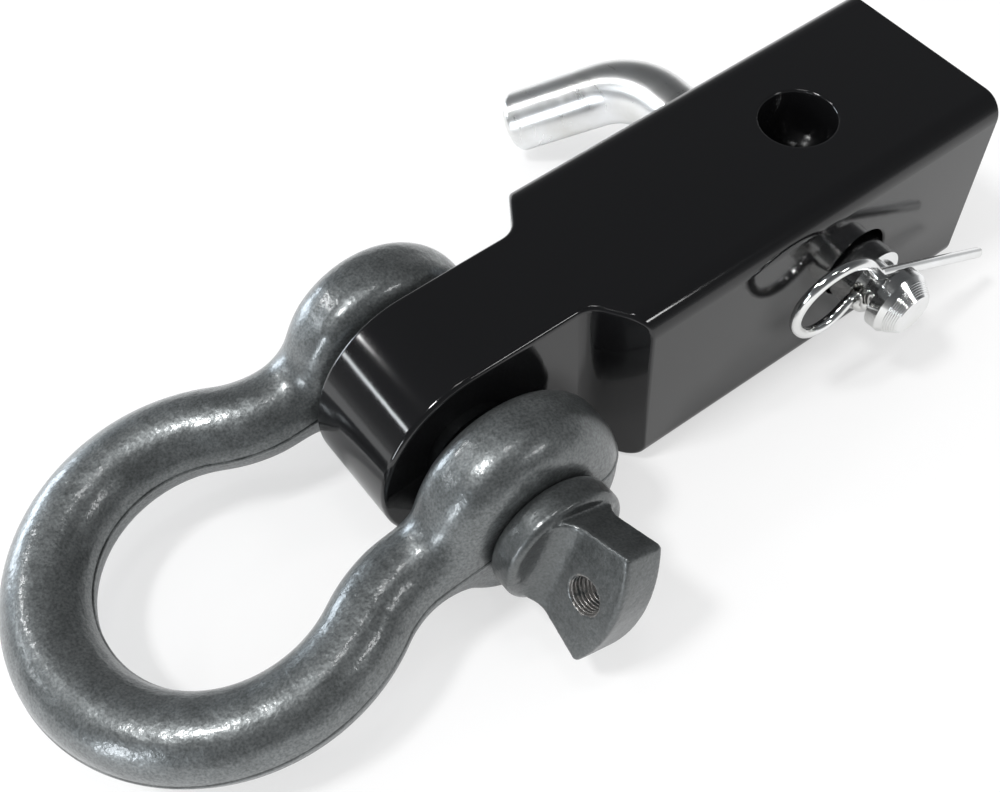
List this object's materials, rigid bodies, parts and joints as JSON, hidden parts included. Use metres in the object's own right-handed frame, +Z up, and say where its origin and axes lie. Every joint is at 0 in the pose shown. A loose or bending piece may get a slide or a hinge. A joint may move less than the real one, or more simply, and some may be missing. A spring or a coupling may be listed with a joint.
{
  "type": "hitch receiver shackle",
  "caption": "Square receiver shank with a narrowed tongue, a bow shackle on a screw pin, and a bent hitch pin held by a hairpin clip.",
  "frame": {"origin": "where the two hitch pin holes cross on the shank's centre line, which is the receiver mount's point", "axes": "+X along the shank towards the receiver end, -X towards the shackle, +Z up through the open pin hole, +Y towards the hitch pin's handle"},
  "size_m": [0.2494, 0.1494, 0.0514],
  "materials": {
    "gloss_black": "gloss powder coat",
    "grey_paint": "dark metallic grey paint on forged steel",
    "bright_zinc": "bright zinc plate"
  },
  "bodies": {
    "shank": {"shank": "gloss_black"},
    "bow": {"shackle_bow": "grey_paint"},
    "screw_pin": {"shackle_pin": "grey_paint"},
    "pull_pin": {"hitch_pin": "bright_zinc"},
    "clip": {"hairpin_clip": "bright_zinc"}
  },
  "joints": [
    {"name": "bow_swing", "type": "hinge", "parent": "shank", "child": "bow", "pos_m": [-0.1005, 0, -0.00155], "axis": [0, 1, 0], "range_deg": [-120, 137]},
    {"name": "screw_pin_draw", "type": "slide", "parent": "bow", "child": "screw_pin", "axis": [0, -1, 0], "range_m": [0, 0.076]},
    {"name": "pull_pin_turn", "type": "hinge", "parent": "shank", "child": "pull_pin", "pos_m": [0, 0, -0.00097], "axis": [0, 1, 0], "continuous": true},
    {"name": "clip_turn", "type": "hinge", "parent": "pull_pin", "child": "clip", "pos_m": [0, 0, -0.00097], "axis": [0, 1, 0], "continuous": true}
  ]
}
